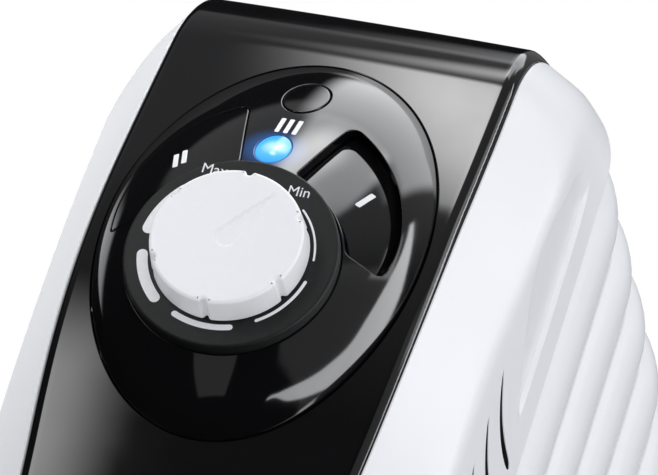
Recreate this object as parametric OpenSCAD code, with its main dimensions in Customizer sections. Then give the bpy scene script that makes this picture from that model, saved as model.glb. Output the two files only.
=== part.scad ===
// Oil filled radiator heater on castors, in millimetres.
// +Z is up, the control face looks along -Y, X = 0 is the plane of symmetry, and Z = 0 is the floor.

/* [Radiator] */
// Width over the fins
body_w = 158; // [150:1:166]
// Height of the fins' top edge above the floor
fin_top = 638; // [600:1:660]
// Height of the fins' bottom edge above the floor
fin_bottom = 74; // [70:1:80]
// Distance from one fin to the next
fin_pitch = 36; // [34:0.5:38]
// Depth of a fin's bent rim, front to back
fin_rim = 30; // [24:1:31]
// Radius of the fins' top corners
corner_r = 38; // [30:1:42]

/* [Control housing] */
// Depth of the housing behind its front panel
housing_d = 95; // [92:1:98]
// Height of the housing's lower edge above the floor
housing_bottom = 72; // [70:1:90]
// Wall of the plastic shells
wall = 2.6; // [2.2:0.1:3.2]
// Widest half width of the front panel
fascia_half = 60; // [58:0.5:62]

/* [Control pod] */
// Half width of the oval pod
pod_half_w = 53.3; // [52:0.1:54]
// Half height of the oval pod
pod_half_h = 79.5; // [78:0.1:81]
// Radius of the round dial plate
dial_r = 35.5; // [35:0.1:36]
// How far the pod's dome stands in front of the panel
dome_out = 20; // [16:0.5:24]
// How far the dial plate stands in front of the dome's edge
dial_out = 4.4; // [3:0.1:6]
// Radius of the knob at its base
knob_r = 26; // [24:0.5:28]
// Height of the knob
knob_h = 10; // [8:0.5:14]
// Travel of the push buttons
button_travel = 5; // [3:0.5:6]

/* [Feet] */
// Length of a foot bar, side to side
foot_w = 260; // [240:2:290]
// Radius of the castor wheels
wheel_r = 20; // [18:1:22]

/* [Hidden] */
$fn = 64;

white = [0.93, 0.94, 0.95];
black = [0.06, 0.06, 0.065];
grey = [0.45, 0.46, 0.48];
steel = [0.70, 0.71, 0.73];
brass = [0.80, 0.65, 0.35];
blue = [0.25, 0.60, 1.00];

fin_count = 8;
fin_y1 = 117;                                   // middle of the first fin, behind the panel
rear_face = fin_y1 + (fin_count - 1) * fin_pitch + fin_rim / 2;
cover_t = 3;                                    // thickness of the rear cover
grip_r = 9;                                     // radius of the carry handle's grip
grip_y = rear_face + 0.3 + cover_t + grip_r;    // grip's axis, behind the panel
knob_gap = 0.5;
dome_y = -dome_out;                             // dome's edge round the dial plate
dial_y = dome_y - dial_out;                     // face of the dial plate
front_y = dial_y - knob_gap - knob_h;           // front of the knob, the foremost point
panel_y = -(front_y + grip_y + grip_r) / 2;     // panel's Y, so that the object is centred
body_top = fin_top + 2.4;                       // top of the housing's rear edge
ref_z = body_top - 209.4;                       // height that the control face is laid out from

// Side profile of the front panel: upright, a wide arc, a straight slope, a tight bend and a flat arc
flat_z = ref_z + 20;
low_r = 345;
slope_tilt = 15.5;
slope_top = ref_z + 167;
bend_r = 48;
bend_tilt = 66;
crown_r = 130;
low_y = low_r * (1 - cos(slope_tilt));
low_z = flat_z + low_r * sin(slope_tilt);
bend_y = low_y + (slope_top - low_z) * tan(slope_tilt) + bend_r * cos(slope_tilt);
bend_z = slope_top - bend_r * sin(slope_tilt);
crown_y = bend_y + (crown_r - bend_r) * cos(bend_tilt);
crown_z = bend_z - (crown_r - bend_r) * sin(bend_tilt);
end_tilt = acos((crown_y - housing_d) / crown_r);
bevel = 4;                                      // drop of the panel's side bevel
bevel_w = 7;                                    // width of that bevel
seam = 0.35;                                    // gap between panel and side shells
lip = 7;                                        // width of the shells' edge behind the panel
shell_r = 31;                                   // radius of the shells' top rear corners

// Control face
dial_z = ref_z + 60;
pod_z = ref_z + 83.5;
lens_z = ref_z + 105.9;
cap_z = ref_z + 137;
button_gap = 0.4;
switch_x = 30;
switch_z = ref_z + 98;
stem_r = 3.1;
shaft_r = 3;
bracket_y = 34;

// Radiator core
sheet_t = 1.2;                                  // a fin's two sheets, welded
rim_t = 0.9;
header_r = 15;
header_bore = 13.5;
lower_z = fin_bottom + 54;
upper_z = fin_top - 62;
channel_x = [-48, -16, 16, 48];
channel_w = 20;
channel_d = 9;
channel_t = 0.9;
shield_y = 91.5;
shield_t = 1;
element_r = 4;
stand_off_x = 32;

// Feet
foot_front_y = fin_y1 + fin_pitch / 2;
foot_rear_y = fin_y1 + (fin_count - 1.5) * fin_pitch;
bar_z = 46;
bar_h = 12;
bar_d = 34;
castor_x = foot_w / 2 - 18;
trail = 14;
stem = 4;
fit_gap = 0.06;
wheel_w = 18;
bolt_r = 2.5;
bolt_x = header_r + 0.3 + bolt_r;

// ---------- helpers ----------

// Places a piece that is laid out behind the front panel
module at_panel() translate([0, panel_y, 0]) children();

// Slab with its outline in X and Z, from y0 to y1
module slab(y0, y1) translate([0, y1, 0]) rotate([90, 0, 0]) linear_extrude(y1 - y0) children();

// Round bar along Y from y0 to y1
module bar_y(r, y0, y1) translate([0, y1, 0]) rotate([90, 0, 0]) cylinder(r = r, h = y1 - y0);

// Rounded outline of the body: w wide, from z0 to z1
module outline(w, z0, z1, r_top, r_low) {
    translate([-w / 2, z0 + r_low]) square([w, z1 - z0 - r_low - r_top]);
    translate([r_top - w / 2, z0 + r_low]) square([w - 2 * r_top, z1 - z0 - r_low]);
    translate([r_low - w / 2, z0]) square([w - 2 * r_low, z1 - z0 - r_top]);
    for (side = [-1, 1]) {
        translate([side * (w / 2 - r_top), z1 - r_top]) circle(r = r_top);
        translate([side * (w / 2 - r_low), z0 + r_low]) circle(r = r_low);
    }
}

function ellipse(a, b, n = 40) = [for (i = [0:n - 1]) [a * cos(360 * i / n), b * sin(360 * i / n)]];
function joined(rows) = [for (row = rows) for (p = row) p];

// Two triangles of each cell of a grid of points
function cells(rows, cols, ring, base, turned) =
    [for (r = [0:rows - 2]) for (c = [0:cols - (ring ? 1 : 2)])
        let (d = (c + 1) % cols, p = base + r * cols, q = p + cols)
        for (f = [[p + c, p + d, q + d], [p + c, q + d, q + c]]) turned ? [f[2], f[1], f[0]] : f];

// Triangles that join the edges of an outer and an inner grid
function rims(rows, cols, ring) =
    let (m = rows * cols, last = (rows - 1) * cols)
    concat(
        [for (c = [0:cols - (ring ? 1 : 2)]) let (d = (c + 1) % cols)
            for (f = [[c, m + c, m + d], [c, m + d, d]]) f],
        [for (c = [0:cols - (ring ? 1 : 2)]) let (p = last + c, q = last + (c + 1) % cols)
            for (f = [[p, q, m + q], [p, m + q, m + p]]) f],
        ring ? [] : [for (r = [0:rows - 2]) let (p = r * cols, q = p + cols)
            for (f = [[p, q, m + q], [p, m + q, m + p]]) f],
        ring ? [] : [for (r = [0:rows - 2]) let (p = (r + 1) * cols - 1, q = p + cols)
            for (f = [[p, m + p, m + q], [p, m + q, q]]) f]);

// Closed solid between an outer and an inner grid of points
module layer(outer, inner, ring = false, turned = false) {
    rows = len(outer);
    cols = len(outer[0]);
    faces = concat(
        cells(rows, cols, ring, 0, false),
        cells(rows, cols, ring, rows * cols, true),
        rims(rows, cols, ring));
    polyhedron(
        points = concat(joined(outer), joined(inner)),
        faces = turned ? [for (f = faces) [f[2], f[1], f[0]]] : faces);
}

// ---------- front panel and side shells ----------

function face_y(z) =
    z <= flat_z ? 0 :
    z <= low_z ? low_r - sqrt(low_r * low_r - pow(z - flat_z, 2)) :
    z <= slope_top ? low_y + (z - low_z) * tan(slope_tilt) :
    z <= bend_z + bend_r * sin(bend_tilt) ? bend_y - sqrt(bend_r * bend_r - pow(z - bend_z, 2)) :
    crown_y - sqrt(crown_r * crown_r - pow(z - crown_z, 2));

// Stations [y, z, tilt] up the side profile, as far as the last tilt
function stations(last_tilt) = concat(
    [for (i = [0:7]) [0, housing_bottom + (flat_z - housing_bottom) * i / 8, 0]],
    [for (i = [0:6]) let (t = slope_tilt * i / 6) [low_r * (1 - cos(t)), flat_z + low_r * sin(t), t]],
    [for (i = [1:3]) let (z = low_z + (slope_top - low_z) * i / 3) [face_y(z), z, slope_tilt]],
    [for (i = [1:7]) let (t = slope_tilt + (bend_tilt - slope_tilt) * i / 7)
        [bend_y - bend_r * cos(t), bend_z + bend_r * sin(t), t]],
    [for (i = [1:4]) let (t = bend_tilt + (last_tilt - bend_tilt) * i / 4)
        [crown_y - crown_r * cos(t), crown_z + crown_r * sin(t), t]]);

function panel_half(z) =
    let (h = z - ref_z)
    h > 90 ? fascia_half - 2.5 * pow((h - 90) / 119, 2) :
    h > 0 ? fascia_half - 4.5 * pow((90 - h) / 90, 2) :
    fascia_half - 13.5 + 9 * exp(h / 90);

// Point of the panel: s is the station, u runs from -1 to 1 across, depth is below the surface
function panel_point(s, u, depth) =
    let (half = panel_half(s[1]) - seam,
         x = u * half,
         d = depth + bevel * pow(max(0, (abs(x) - half + bevel_w) / bevel_w), 2))
    [x, min(housing_d, s[0] + d * cos(s[2])), s[1] - d * sin(s[2])];

module fascia() color(black) at_panel() difference() {
    across = [-1, -0.96, -0.92, -0.885, 0, 0.885, 0.92, 0.96, 1];
    up = stations(end_tilt);
    layer(
        [for (s = up) [for (u = across) panel_point(s, u, 0)]],
        [for (s = up) [for (u = across) panel_point(s, u, wall)]]);
    slab(-5, 60) translate([0, pod_z]) polygon(ellipse(pod_half_w * 0.9, pod_half_h * 0.9));
}

function rear_half(z) =
    let (h = z - (body_top - shell_r))
    h <= 0 ? body_w / 2 : body_w / 2 - shell_r + sqrt(max(0, shell_r * shell_r - h * h));

function smooth(v) = let (c = max(0, min(1, v))) c * c * (3 - 2 * c);

// Share of the width that a side shell has gained at a share t of its depth; z is its height.
// Its soft crease fades out towards the top.
function shell_spread(t, z) =
    let (fade = smooth((z - ref_z - 140) / 60),
         share = 0.84 + 0.08 * smooth((z - ref_z - 60) / 60) - 0.38 * fade,
         steep = (2.7 - 1.1 * fade) * t,
         shallow = share + (1 - share) * t)
    (steep + shallow - sqrt(pow(steep - shallow, 2) + 0.0036 + 0.03 * fade)) / 2;

// Points of a side shell: behind is the start's distance from the panel's edge, thin narrows it
function shell_point(s, t, behind, thin, lowered) =
    let (y0 = min(housing_d - 0.5, s[0] + bevel * cos(s[2]) + behind),
         z = s[1] - bevel * sin(s[2]),
         half = panel_half(s[1]),
         zs = housing_bottom + (z - housing_bottom) * lowered)
    [half + max(0.4, rear_half(z) - thin - half) * shell_spread(t, z), y0 + t * (housing_d - y0), zs];

// Curved air slit, in Y and Z
function slit_outline(drop) =
    let (n = 6)
    concat(
        [for (i = [0:n]) [49.5 + 37 * i / n, drop + 61.7 + 16 * pow(1 - i / n, 2.6)]],
        [for (i = [n:-1:0]) [49.5 + 37 * i / n, drop + 57.7 + 16 * pow(1 - i / n, 2.6)]]);

module side_shell() {
    along = [0, 0.1, 0.2, 0.26, 0.3, 0.33, 0.36, 0.4, 0.47, 0.6, 0.8, 1];
    up = stations(end_tilt - 1.3);
    inner_share = (ref_z + 199 - housing_bottom) / (ref_z + 205 - housing_bottom);
    difference() {
        layer(
            [for (s = up) [for (t = along) shell_point(s, t, 0, 0, 1)]],
            [for (s = up) [for (t = along) shell_point(s, t, lip, wall, inner_share)]]);
        for (i = [0:17])
            translate([60, 0, 0]) rotate([90, 0, 90]) linear_extrude(30)
                polygon(slit_outline(ref_z - 18 * i));
    }
}

module housing_right() color(white) at_panel() side_shell();
module housing_left() color(white) at_panel() mirror([1, 0, 0]) side_shell();

// ---------- control pod ----------

// Point of the dome: f runs from the dial plate's edge to the rim, a is the angle from the top
function dome_point(f, a, deeper) =
    let (rim_z = pod_z + pod_half_h * cos(a),
         x = (dial_r + (pod_half_w - dial_r) * f) * sin(a),
         z = dial_z + (pod_z - dial_z) * f + (dial_r + (pod_half_h - dial_r) * f) * cos(a),
         rise = 0.7 * f + 0.3 * pow(f, 3))
    [x, dome_y + (face_y(rim_z) - dome_y) * rise + deeper, z];

function dome_grid(deeper, reach = 1) =
    [for (i = [0:8]) [for (k = [0:47]) dome_point(reach * i / 8, 7.5 * k, deeper)]];

// The pod's rear surface stops just in front of the panel
function pod_back() =
    [for (row = dome_grid(3, 0.95)) [for (p = row) [p[0], min(p[1], face_y(p[2]) - 0.15), p[2]]]];

// Part of the dome between two depths, for pieces that lie flush in it
module dome_layer(near, deep) layer(dome_grid(near), dome_grid(deep), ring = true, turned = true);

// Crescent beside the dial, laid out from the dial's centre; grow widens it all round
module crescent(side, grow) {
    round_r = 3;
    top_line = side > 0 ? [[8.3, 24.6], [18.6, 64.1]] : [[4.7, 25.5], [15, 65]];
    offset(r = round_r + grow) offset(delta = -round_r) difference() {
        intersection() {
            translate([-7, 20]) circle(r = 54);
            polygon(concat(top_line, [[70, 65], [70, 5.5], [25, 10.5]]));
        }
        circle(r = dial_r + 0.8);
    }
}

module crescent_slab(side, grow) slab(-60, 80) translate([0, dial_z]) mirror([side < 0 ? 1 : 0, 0]) crescent(side, grow);

module control_pod() color(black) at_panel() difference() {
    layer(dome_grid(0), pod_back(), ring = true, turned = true);
    crescent_slab(1, 0);
    crescent_slab(-1, 0);
    slab(-60, 80) translate([0, lens_z]) polygon(ellipse(5.75, 7.6));
    slab(-60, 80) translate([0, cap_z]) polygon(ellipse(7.5, 10));
}

module dial_plate() color(grey) at_panel() translate([0, 0, dial_z]) difference() {
    union() {
        bar_y(dial_r - 0.3, dial_y, dome_y + 3);
        bar_y(8, dome_y + 3, dome_y + 6);
    }
    bar_y(shaft_r + 0.6, dial_y - 1, dome_y + 7);
}

// Push button: pressed is how far it sits below the dome
module button(side, pressed) {
    color(black) {
        intersection() {
            dome_layer(pressed, pressed + 6);
            crescent_slab(side, -button_gap);
        }
        translate([side * switch_x, 0, switch_z]) bar_y(stem_r, pressed - 6, pressed + 17);
    }
}

module push_button_1() at_panel() button(1, button_travel);
module push_button_2() at_panel() button(-1, 0);

module knob() color(white) at_panel() translate([0, 0, dial_z]) difference() {
    translate([0, dial_y - knob_gap, 0]) rotate([90, 0, 0]) rotate_extrude()
        polygon([[0, 0], [knob_r, 0], [knob_r - 0.3, knob_h - 3], [knob_r - 1, knob_h - 1],
            [knob_r - 2.6, knob_h], [0, knob_h]]);
    for (i = [0:5]) rotate([0, 2 + 60 * i, 0]) translate([0, 0, knob_r + 0.3]) bar_y(1.8, front_y - 1, dial_y);
    bar_y(shaft_r + 0.02, dial_y - 6, dial_y + 1);
    rotate([0, 32, 0]) {
        bar_y(2.2, front_y - 1, front_y + 0.7);
        slab(front_y - 1, front_y + 0.7) polygon([[-2.1, 0.6], [-0.7, 21.5], [0.7, 21.5], [2.1, 0.6]]);
    }
}

module thermostat_shaft() color(steel) at_panel() translate([0, 0, dial_z])
    bar_y(shaft_r, dial_y - 6, 18);

module thermostat_body() color(grey) at_panel() translate([0, 0, dial_z]) difference() {
    union() {
        slab(10, bracket_y) square([34, 34], center = true);
        bar_y(6, 2, 10);
    }
    bar_y(shaft_r + fit_gap, 1, 20);
}

module power_switch(side) color(grey) at_panel() translate([side * switch_x, 0, switch_z]) difference() {
    slab(14, bracket_y) square([16, 26], center = true);
    bar_y(stem_r + 0.4, 13, 27);
}

module power_switch_1() power_switch(1);
module power_switch_2() power_switch(-1);

module pilot_lens() color(blue) at_panel() intersection() {
    dome_layer(-1, 3.5);
    slab(-60, 80) translate([0, lens_z]) polygon(ellipse(5.5, 7.35));
}

module pilot_lamp() color(grey) at_panel() translate([0, 0, lens_z]) {
    bar_y(3, -4, 10);
    slab(10, bracket_y) square([10, 16], center = true);
}

module blank_cap() color(black) at_panel() intersection() {
    dome_layer(-0.5, 3);
    slab(-60, 80) translate([0, cap_z]) polygon(ellipse(7.25, 9.75));
}

module control_bracket() color(steel) at_panel() {
    post_x = 49;
    slab(bracket_y, bracket_y + 1.5) translate([-54, ref_z + 15]) square([108, 112]);
    for (side = [-1, 1], h = [25, 118])
        translate([side * post_x, 0, ref_z + h]) bar_y(3, face_y(ref_z + h + 3) + wall + 0.7, bracket_y);
}

// ---------- inside the housing ----------

module heat_shield() color(steel) at_panel() difference() {
    slab(shield_y, shield_y + shield_t) outline(150, housing_bottom + 6, ref_z + 196, 36, 6);
    translate([0, 0, lower_z]) bar_y(24, shield_y - 1, shield_y + shield_t + 1);
    translate([0, 0, upper_z]) bar_y(18, shield_y - 1, shield_y + shield_t + 1);
}

// Half width of the base cover, just inside the side shells
function base_half(y) =
    let (low = panel_half(housing_bottom), y0 = bevel + lip)
    low + (body_w / 2 - wall - low) * shell_spread((y - y0) / (housing_d - y0), housing_bottom) - 0.6;

module base_cover() color(white) at_panel() difference() {
    depths = [12, 20, 28, 34, 38, 42, 48, 60, 75, 90];
    translate([0, 0, housing_bottom]) linear_extrude(2.5) polygon(concat(
        [for (i = [0:9]) [base_half(depths[i]), depths[i]]],
        [for (i = [9:-1:0]) [-base_half(depths[i]), depths[i]]]));
    translate([0, 45, housing_bottom - 1]) cylinder(r = 8.2, h = 5);
}

module cord_gland() color(black) at_panel() translate([0, 45, 0]) difference() {
    union() {
        translate([0, 0, housing_bottom - 14]) cylinder(r1 = 6, r2 = 7, h = 12);
        translate([0, 0, housing_bottom - 2]) cylinder(r = 11, h = 2);
        translate([0, 0, housing_bottom]) cylinder(r = 8, h = 12);
    }
    translate([0, 0, housing_bottom - 15]) cylinder(r = 3.8, h = 30);
}

module terminal_block() color(white) at_panel() translate([0, 0, housing_bottom + 110]) difference() {
    slab(shield_y - 18, shield_y) square([60, 22], center = true);
    for (i = [-2:2]) translate([i * 11, 0, 0]) bar_y(2.5, shield_y - 19, shield_y - 8);
}

module thermal_cutout() color(steel) at_panel() translate([46, 0, lower_z + 14]) {
    bar_y(9, shield_y - 8, shield_y);
    slab(shield_y - 14, shield_y - 8) square([14, 10], center = true);
}

module stand_offs() color(steel) at_panel()
    for (side = [-1, 1], z = [lower_z + 60, upper_z - 60]) translate([side * stand_off_x, 0, z])
        bar_y(4.5, shield_y + shield_t, fin_y1 - sheet_t / 2);

// ---------- radiator core ----------

// Box section oil channels; inset thins them for the hollow inside
module channels(y, inset) {
    d = channel_d - 2 * inset;
    w = channel_w - 2 * inset;
    for (x = channel_x) translate([x - w / 2, y - d / 2, lower_z - channel_w / 2 + inset])
        cube([w, d, upper_z - lower_z + channel_w - 2 * inset]);
    span = channel_x[3] - channel_x[0] + channel_w - 2 * inset;
    for (z = [lower_z, upper_z]) translate([-span / 2, y - d / 2, z - w / 2]) cube([span, d, w]);
}

module fin(n) color(white) at_panel() {
    y = fin_y1 + (n - 1) * fin_pitch;
    back = n == fin_count ? 8 : fin_pitch / 2;
    difference() {
        union() {
            slab(y - sheet_t / 2, y + sheet_t / 2) outline(body_w, fin_bottom, fin_top, corner_r, 14);
            difference() {
                slab(y - fin_rim / 2, y + fin_rim / 2)
                    outline(body_w, fin_bottom, fin_top, corner_r, 14);
                slab(y - fin_rim / 2 - 1, y + fin_rim / 2 + 1)
                    outline(body_w - 2 * rim_t, fin_bottom - 1, fin_top - rim_t, corner_r - rim_t, 14);
                translate([-body_w, y - fin_rim, fin_bottom - 1]) cube([2 * body_w, 2 * fin_rim, 25]);
            }
            channels(y, 0);
            for (z = [lower_z, upper_z]) translate([0, 0, z]) bar_y(header_r, y - fin_pitch / 2, y + back);
        }
        channels(y, channel_t);
        for (z = [lower_z, upper_z])
            translate([0, 0, z]) bar_y(header_bore, y - fin_pitch, y + fin_pitch);
    }
}

module fin_1() fin(1);
module fin_2() fin(2);
module fin_3() fin(3);
module fin_4() fin(4);
module fin_5() fin(5);
module fin_6() fin(6);
module fin_7() fin(7);
module fin_8() fin(8);

// Hairpin heating element in the lower header; x is the offset of its two legs' plane
module heating_element(x) color(steel) at_panel() translate([x, 0, lower_z]) {
    bend_r = 5;
    end_y = fin_y1 + (fin_count - 1) * fin_pitch - 20;
    for (up = [-1, 1]) translate([0, 0, up * bend_r]) bar_y(element_r - 1, shield_y - 12, end_y);
    translate([0, end_y, 0]) rotate([0, -90, 0]) rotate_extrude(angle = 180)
        translate([bend_r, 0]) circle(r = element_r - 1);
}

module heating_element_1() heating_element(-5.5);
module heating_element_2() heating_element(5.5);

module element_flange() color(steel) at_panel() translate([0, 0, lower_z]) difference() {
    bar_y(22, fin_y1 - fin_pitch / 2 - 5, fin_y1 - fin_pitch / 2);
    for (x = [-5.5, 5.5], up = [-5, 5]) translate([x, 0, up])
        bar_y(element_r - 1 + fit_gap, shield_y, fin_y1);
    for (a = [45:90:315]) rotate([0, a, 0]) translate([18.3, 0, 0]) bar_y(1.8, shield_y, fin_y1);
}

module flange_bolts() color(steel) at_panel() translate([0, 0, lower_z])
    for (a = [45:90:315]) rotate([0, a, 0]) translate([18.3, 0, 0]) {
        bar_y(1.75, fin_y1 - fin_pitch / 2 - 5, fin_y1 - fin_pitch / 2 + 4);
        rotate([90, 0, 0]) translate([0, 0, -(fin_y1 - fin_pitch / 2 - 5)]) cylinder(r = 3, h = 2, $fn = 6);
    }

module header_plug(z, y, turn) color(brass) at_panel() translate([0, y, z]) rotate([0, 0, turn]) {
    rotate([-90, 0, 0]) cylinder(r = header_r + 2, h = 2.5);
    rotate([90, 0, 0]) cylinder(r = header_bore - 0.1, h = 5);
    rotate([-90, 0, 0]) cylinder(r = 8, h = 5, $fn = 6);
}

module top_header_plug() header_plug(upper_z, fin_y1 - fin_pitch / 2, 180);
module lower_header_plug() header_plug(lower_z, fin_y1 + (fin_count - 1) * fin_pitch + 8, 0);
module oil_filler_plug() header_plug(upper_z, fin_y1 + (fin_count - 1) * fin_pitch + 8, 0);

module rear_cover() color(white) at_panel() difference() {
    slab(rear_face + 0.3, rear_face + 0.3 + cover_t) outline(body_w, fin_bottom, fin_top, corner_r, 14);
    for (i = [0:9], side = [-1, 1]) translate([side * 38, 0, fin_bottom + 60 + 42 * i])
        slab(rear_face - 1, rear_face + 5) square([48, 3], center = true);
}

module carry_handle() color(black) at_panel() {
    leg_x = 50;
    grip_z = fin_top + 38;
    translate([-leg_x, grip_y, grip_z]) rotate([0, 90, 0]) cylinder(r = grip_r, h = 2 * leg_x);
    for (side = [-1, 1]) difference() {
        union() {
            translate([side * leg_x, grip_y, grip_z]) sphere(r = grip_r);
            translate([side * leg_x, grip_y, fin_top - 60]) cylinder(r = grip_r, h = grip_z - fin_top + 60);
            translate([side * leg_x, grip_y, fin_top - 60]) sphere(r = grip_r);
        }
        translate([side * leg_x, 0, fin_top - 20]) bar_y(4, grip_y - 1, grip_y + grip_r + 1);
        translate([side * leg_x, 0, fin_top - 50]) bar_y(4, grip_y - 1, grip_y + grip_r + 1);
    }
}

module handle_screws() color(steel) at_panel()
    for (side = [-1, 1], drop = [20, 50]) translate([side * 50, 0, fin_top - drop])
        bar_y(3.6, grip_y - 1, grip_y + grip_r - 3);

// ---------- feet ----------

// Bar that carries two castors and is drawn up against the fins by a U-bolt
module foot_bar(y) color(grey) at_panel() translate([0, y, 0]) difference() {
    union() {
        translate([-castor_x, -bar_d / 2, bar_z]) cube([2 * castor_x, bar_d, bar_h]);
        for (side = [-1, 1]) translate([side * castor_x, 0, bar_z]) cylinder(r = bar_d / 2, h = bar_h);
        translate([-62, -22, bar_z]) cube([124, 44, fin_bottom - bar_z]);
    }
    for (side = [-1, 1]) {
        translate([side * castor_x, 0, bar_z - 1]) cylinder(r = stem + fit_gap, h = bar_h + 2);
        translate([side * bolt_x, 0, bar_z - 1]) cylinder(r = bolt_r + 0.3, h = fin_bottom - bar_z + 2);
    }
}

module foot_bar_front() foot_bar(foot_front_y);
module foot_bar_rear() foot_bar(foot_rear_y);

module u_bolt(y) color(steel) at_panel() translate([0, y, lower_z]) {
    leg = lower_z - bar_z + 12;
    rotate([90, 0, 0]) rotate_extrude(angle = 180) translate([bolt_x, 0]) circle(r = bolt_r);
    for (side = [-1, 1]) translate([side * bolt_x, 0, -leg]) cylinder(r = bolt_r, h = leg);
}

module u_bolt_front() u_bolt(foot_front_y);
module u_bolt_rear() u_bolt(foot_rear_y);

module wing_nuts() color(steel) at_panel()
    for (y = [foot_front_y, foot_rear_y], side = [-1, 1])
        translate([side * bolt_x, y, bar_z]) difference() {
            union() {
                translate([0, 0, -6]) cylinder(r = 5, h = 6);
                for (turn = [0, 180]) rotate([0, 0, turn]) translate([3.5, -1, -10]) cube([8, 2, 8]);
            }
            translate([0, 0, -11]) cylinder(r = bolt_r + 0.02, h = 12);
        }

// Castors: 1 and 2 at the front, 3 and 4 at the rear; odd ones on the right
module castor_place(n) {
    side = n % 2 == 1 ? 1 : -1;
    at_panel() translate([side * castor_x, n <= 2 ? foot_front_y : foot_rear_y, 0]) children();
}

module castor_fork(n) color(grey) castor_place(n) difference() {
    arm_in = wheel_w / 2 + 1;
    arm_t = 3;
    union() {
        translate([0, 0, bar_z - 4]) cylinder(r = stem, h = bar_h + 6);
        translate([0, 0, bar_z - 4]) cylinder(r = 13, h = 3.5);
        for (side = [-1, 1]) translate([side > 0 ? arm_in : -arm_in - arm_t, 0, 0]) {
            rotate([90, 0, 90]) linear_extrude(arm_t)
                polygon([[-9, bar_z - 3], [13, bar_z - 3], [trail + 7, wheel_r + 1],
                    [trail + 5, wheel_r - 6], [trail - 5, wheel_r - 6], [trail - 9, wheel_r + 6]]);
        }
    }
    translate([0, trail, wheel_r]) rotate([0, 90, 0]) cylinder(r = 3.02, h = 40, center = true);
}

module castor_axle(n) color(steel) castor_place(n) translate([0, trail, wheel_r])
    rotate([0, 90, 0]) cylinder(r = 3, h = wheel_w + 8, center = true);

module castor_wheel(n) color(black) castor_place(n) translate([0, trail, wheel_r])
    rotate([0, 90, 0]) rotate_extrude()
        polygon([[3 + fit_gap, -wheel_w / 2], [9, -wheel_w / 2], [9, 3 - wheel_w / 2],
            [wheel_r - 5, 3 - wheel_w / 2], [wheel_r - 5, 1 - wheel_w / 2], [wheel_r - 2, 1 - wheel_w / 2],
            [wheel_r, 3 - wheel_w / 2], [wheel_r, wheel_w / 2 - 3], [wheel_r - 2, wheel_w / 2 - 1],
            [wheel_r - 5, wheel_w / 2 - 1], [wheel_r - 5, wheel_w / 2 - 3], [9, wheel_w / 2 - 3],
            [9, wheel_w / 2], [3 + fit_gap, wheel_w / 2]]);

module castor_fork_1() castor_fork(1);
module castor_fork_2() castor_fork(2);
module castor_fork_3() castor_fork(3);
module castor_fork_4() castor_fork(4);
module castor_axle_1() castor_axle(1);
module castor_axle_2() castor_axle(2);
module castor_axle_3() castor_axle(3);
module castor_axle_4() castor_axle(4);
module castor_wheel_1() castor_wheel(1);
module castor_wheel_2() castor_wheel(2);
module castor_wheel_3() castor_wheel(3);
module castor_wheel_4() castor_wheel(4);

housing_left();
housing_right();
fascia();
control_pod();
dial_plate();
knob();
thermostat_shaft();
thermostat_body();
push_button_1();
push_button_2();
power_switch_1();
power_switch_2();
pilot_lens();
pilot_lamp();
blank_cap();
control_bracket();
heat_shield();
base_cover();
cord_gland();
terminal_block();
thermal_cutout();
stand_offs();
fin_1();
fin_2();
fin_3();
fin_4();
fin_5();
fin_6();
fin_7();
fin_8();
heating_element_1();
heating_element_2();
element_flange();
flange_bolts();
top_header_plug();
lower_header_plug();
oil_filler_plug();
rear_cover();
carry_handle();
handle_screws();
foot_bar_front();
foot_bar_rear();
u_bolt_front();
u_bolt_rear();
wing_nuts();
castor_fork_1();
castor_fork_2();
castor_fork_3();
castor_fork_4();
castor_axle_1();
castor_axle_2();
castor_axle_3();
castor_axle_4();
castor_wheel_1();
castor_wheel_2();
castor_wheel_3();
castor_wheel_4();
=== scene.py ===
"""Oil filled radiator heater: the looks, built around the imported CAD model.

Shapes are laid out in millimetres in the panel's own coordinates: X to the right, Y back from the front
panel, Z up from the control face's reference height. to_frame() turns them into metres in the shared frame.
"""
import math

import bpy
import numpy as np
from mathutils import Matrix, Vector
from mathutils.geometry import delaunay_2d_cdt


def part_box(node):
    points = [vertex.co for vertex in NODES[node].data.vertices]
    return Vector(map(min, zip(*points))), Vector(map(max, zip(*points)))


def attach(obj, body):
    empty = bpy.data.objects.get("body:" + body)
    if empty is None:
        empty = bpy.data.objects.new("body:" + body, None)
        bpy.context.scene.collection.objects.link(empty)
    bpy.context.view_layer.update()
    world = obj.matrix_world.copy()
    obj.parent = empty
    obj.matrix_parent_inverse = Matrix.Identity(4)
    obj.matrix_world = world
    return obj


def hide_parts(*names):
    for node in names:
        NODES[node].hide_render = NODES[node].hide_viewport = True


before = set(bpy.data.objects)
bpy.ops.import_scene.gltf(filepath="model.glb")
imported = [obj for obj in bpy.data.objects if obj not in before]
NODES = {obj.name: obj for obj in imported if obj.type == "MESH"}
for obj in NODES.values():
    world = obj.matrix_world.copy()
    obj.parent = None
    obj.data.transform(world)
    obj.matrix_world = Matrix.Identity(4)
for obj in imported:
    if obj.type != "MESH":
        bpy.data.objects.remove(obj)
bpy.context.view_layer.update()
MM = 0.001

# ---------- places that the frame gives, in millimetres ----------


def box_mm(node):
    low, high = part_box(node)
    return np.array(low) / MM, np.array(high) / MM


def middle_z(node):
    low, high = box_mm(node)
    return (low[2] + high[2]) / 2


PANEL_Y = box_mm("fascia")[0][1]
DIAL_Z = 60.0
REF_Z = middle_z("dial_plate") - DIAL_Z
BOTTOM = box_mm("fascia")[0][2] - REF_Z
HOUSING_D = box_mm("fascia")[1][1] - PANEL_Y
BODY_HALF = box_mm("fin_1")[1][0]
FIN_TOP = box_mm("fin_1")[1][2] - REF_Z
FIN_BOTTOM = box_mm("fin_1")[0][2] - REF_Z
DIAL_Y = box_mm("dial_plate")[0][1] - PANEL_Y
KNOB_Y = box_mm("knob")[0][1] - PANEL_Y
KNOB_BACK = box_mm("knob")[1][1] - PANEL_Y

# ---------- shapes, as in the CAD model ----------

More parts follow.
